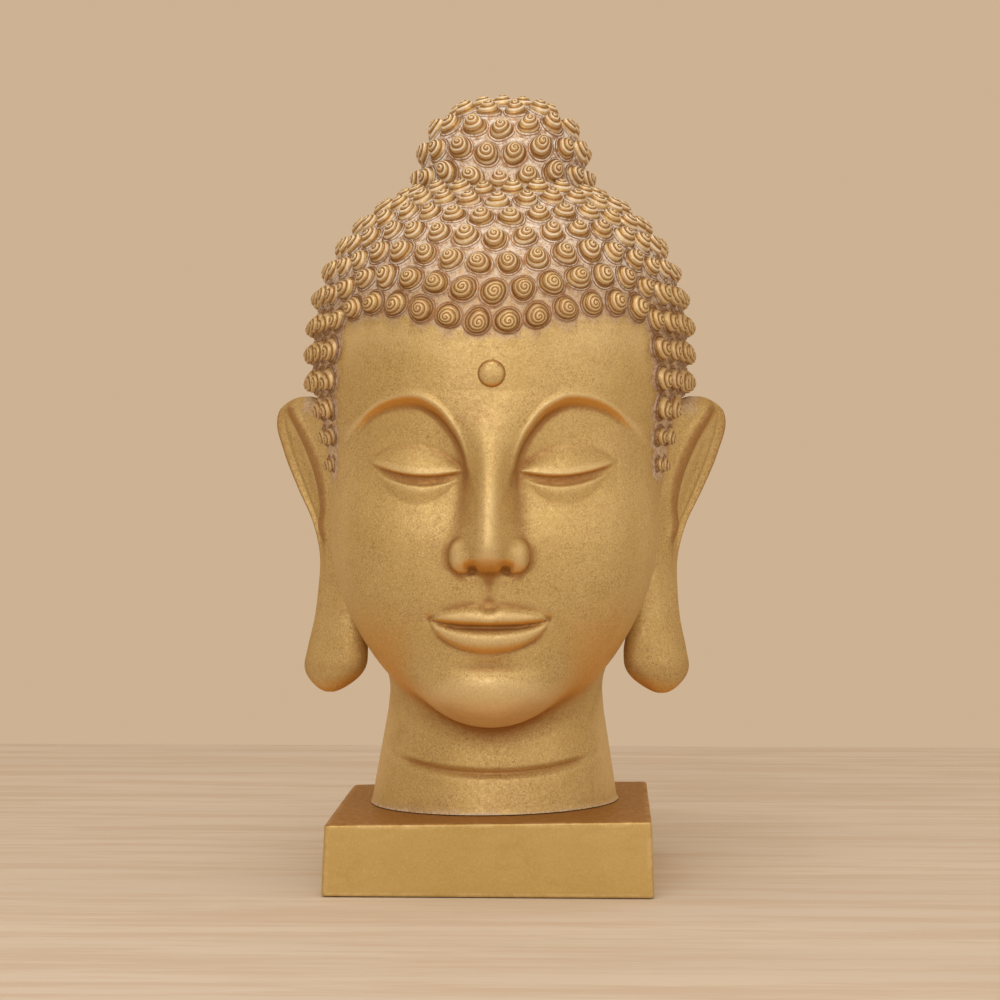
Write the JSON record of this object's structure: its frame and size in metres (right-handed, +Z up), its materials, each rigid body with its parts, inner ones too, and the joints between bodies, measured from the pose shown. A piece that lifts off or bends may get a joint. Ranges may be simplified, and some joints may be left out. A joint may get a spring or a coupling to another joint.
{
  "type": "buddha head sculpture",
  "caption": "Cast resin Buddha head with curled hair, topknot and long ear lobes, standing on a square plinth.",
  "frame": {"origin": "centre of the plinth's underside", "axes": "+Z up through the topknot, -Y the way the face looks, +X to the right of the picture"},
  "size_m": [0.1743, 0.1824, 0.2993],
  "materials": {
    "gold": "cast resin painted antique gold, with pale residue in the recesses",
    "plinth_gold": "cast resin painted antique gold, duller and flatter than the head"
  },
  "bodies": {
    "root": {"head": "gold", "plinth": "plinth_gold"}
  },
  "joints": []
}
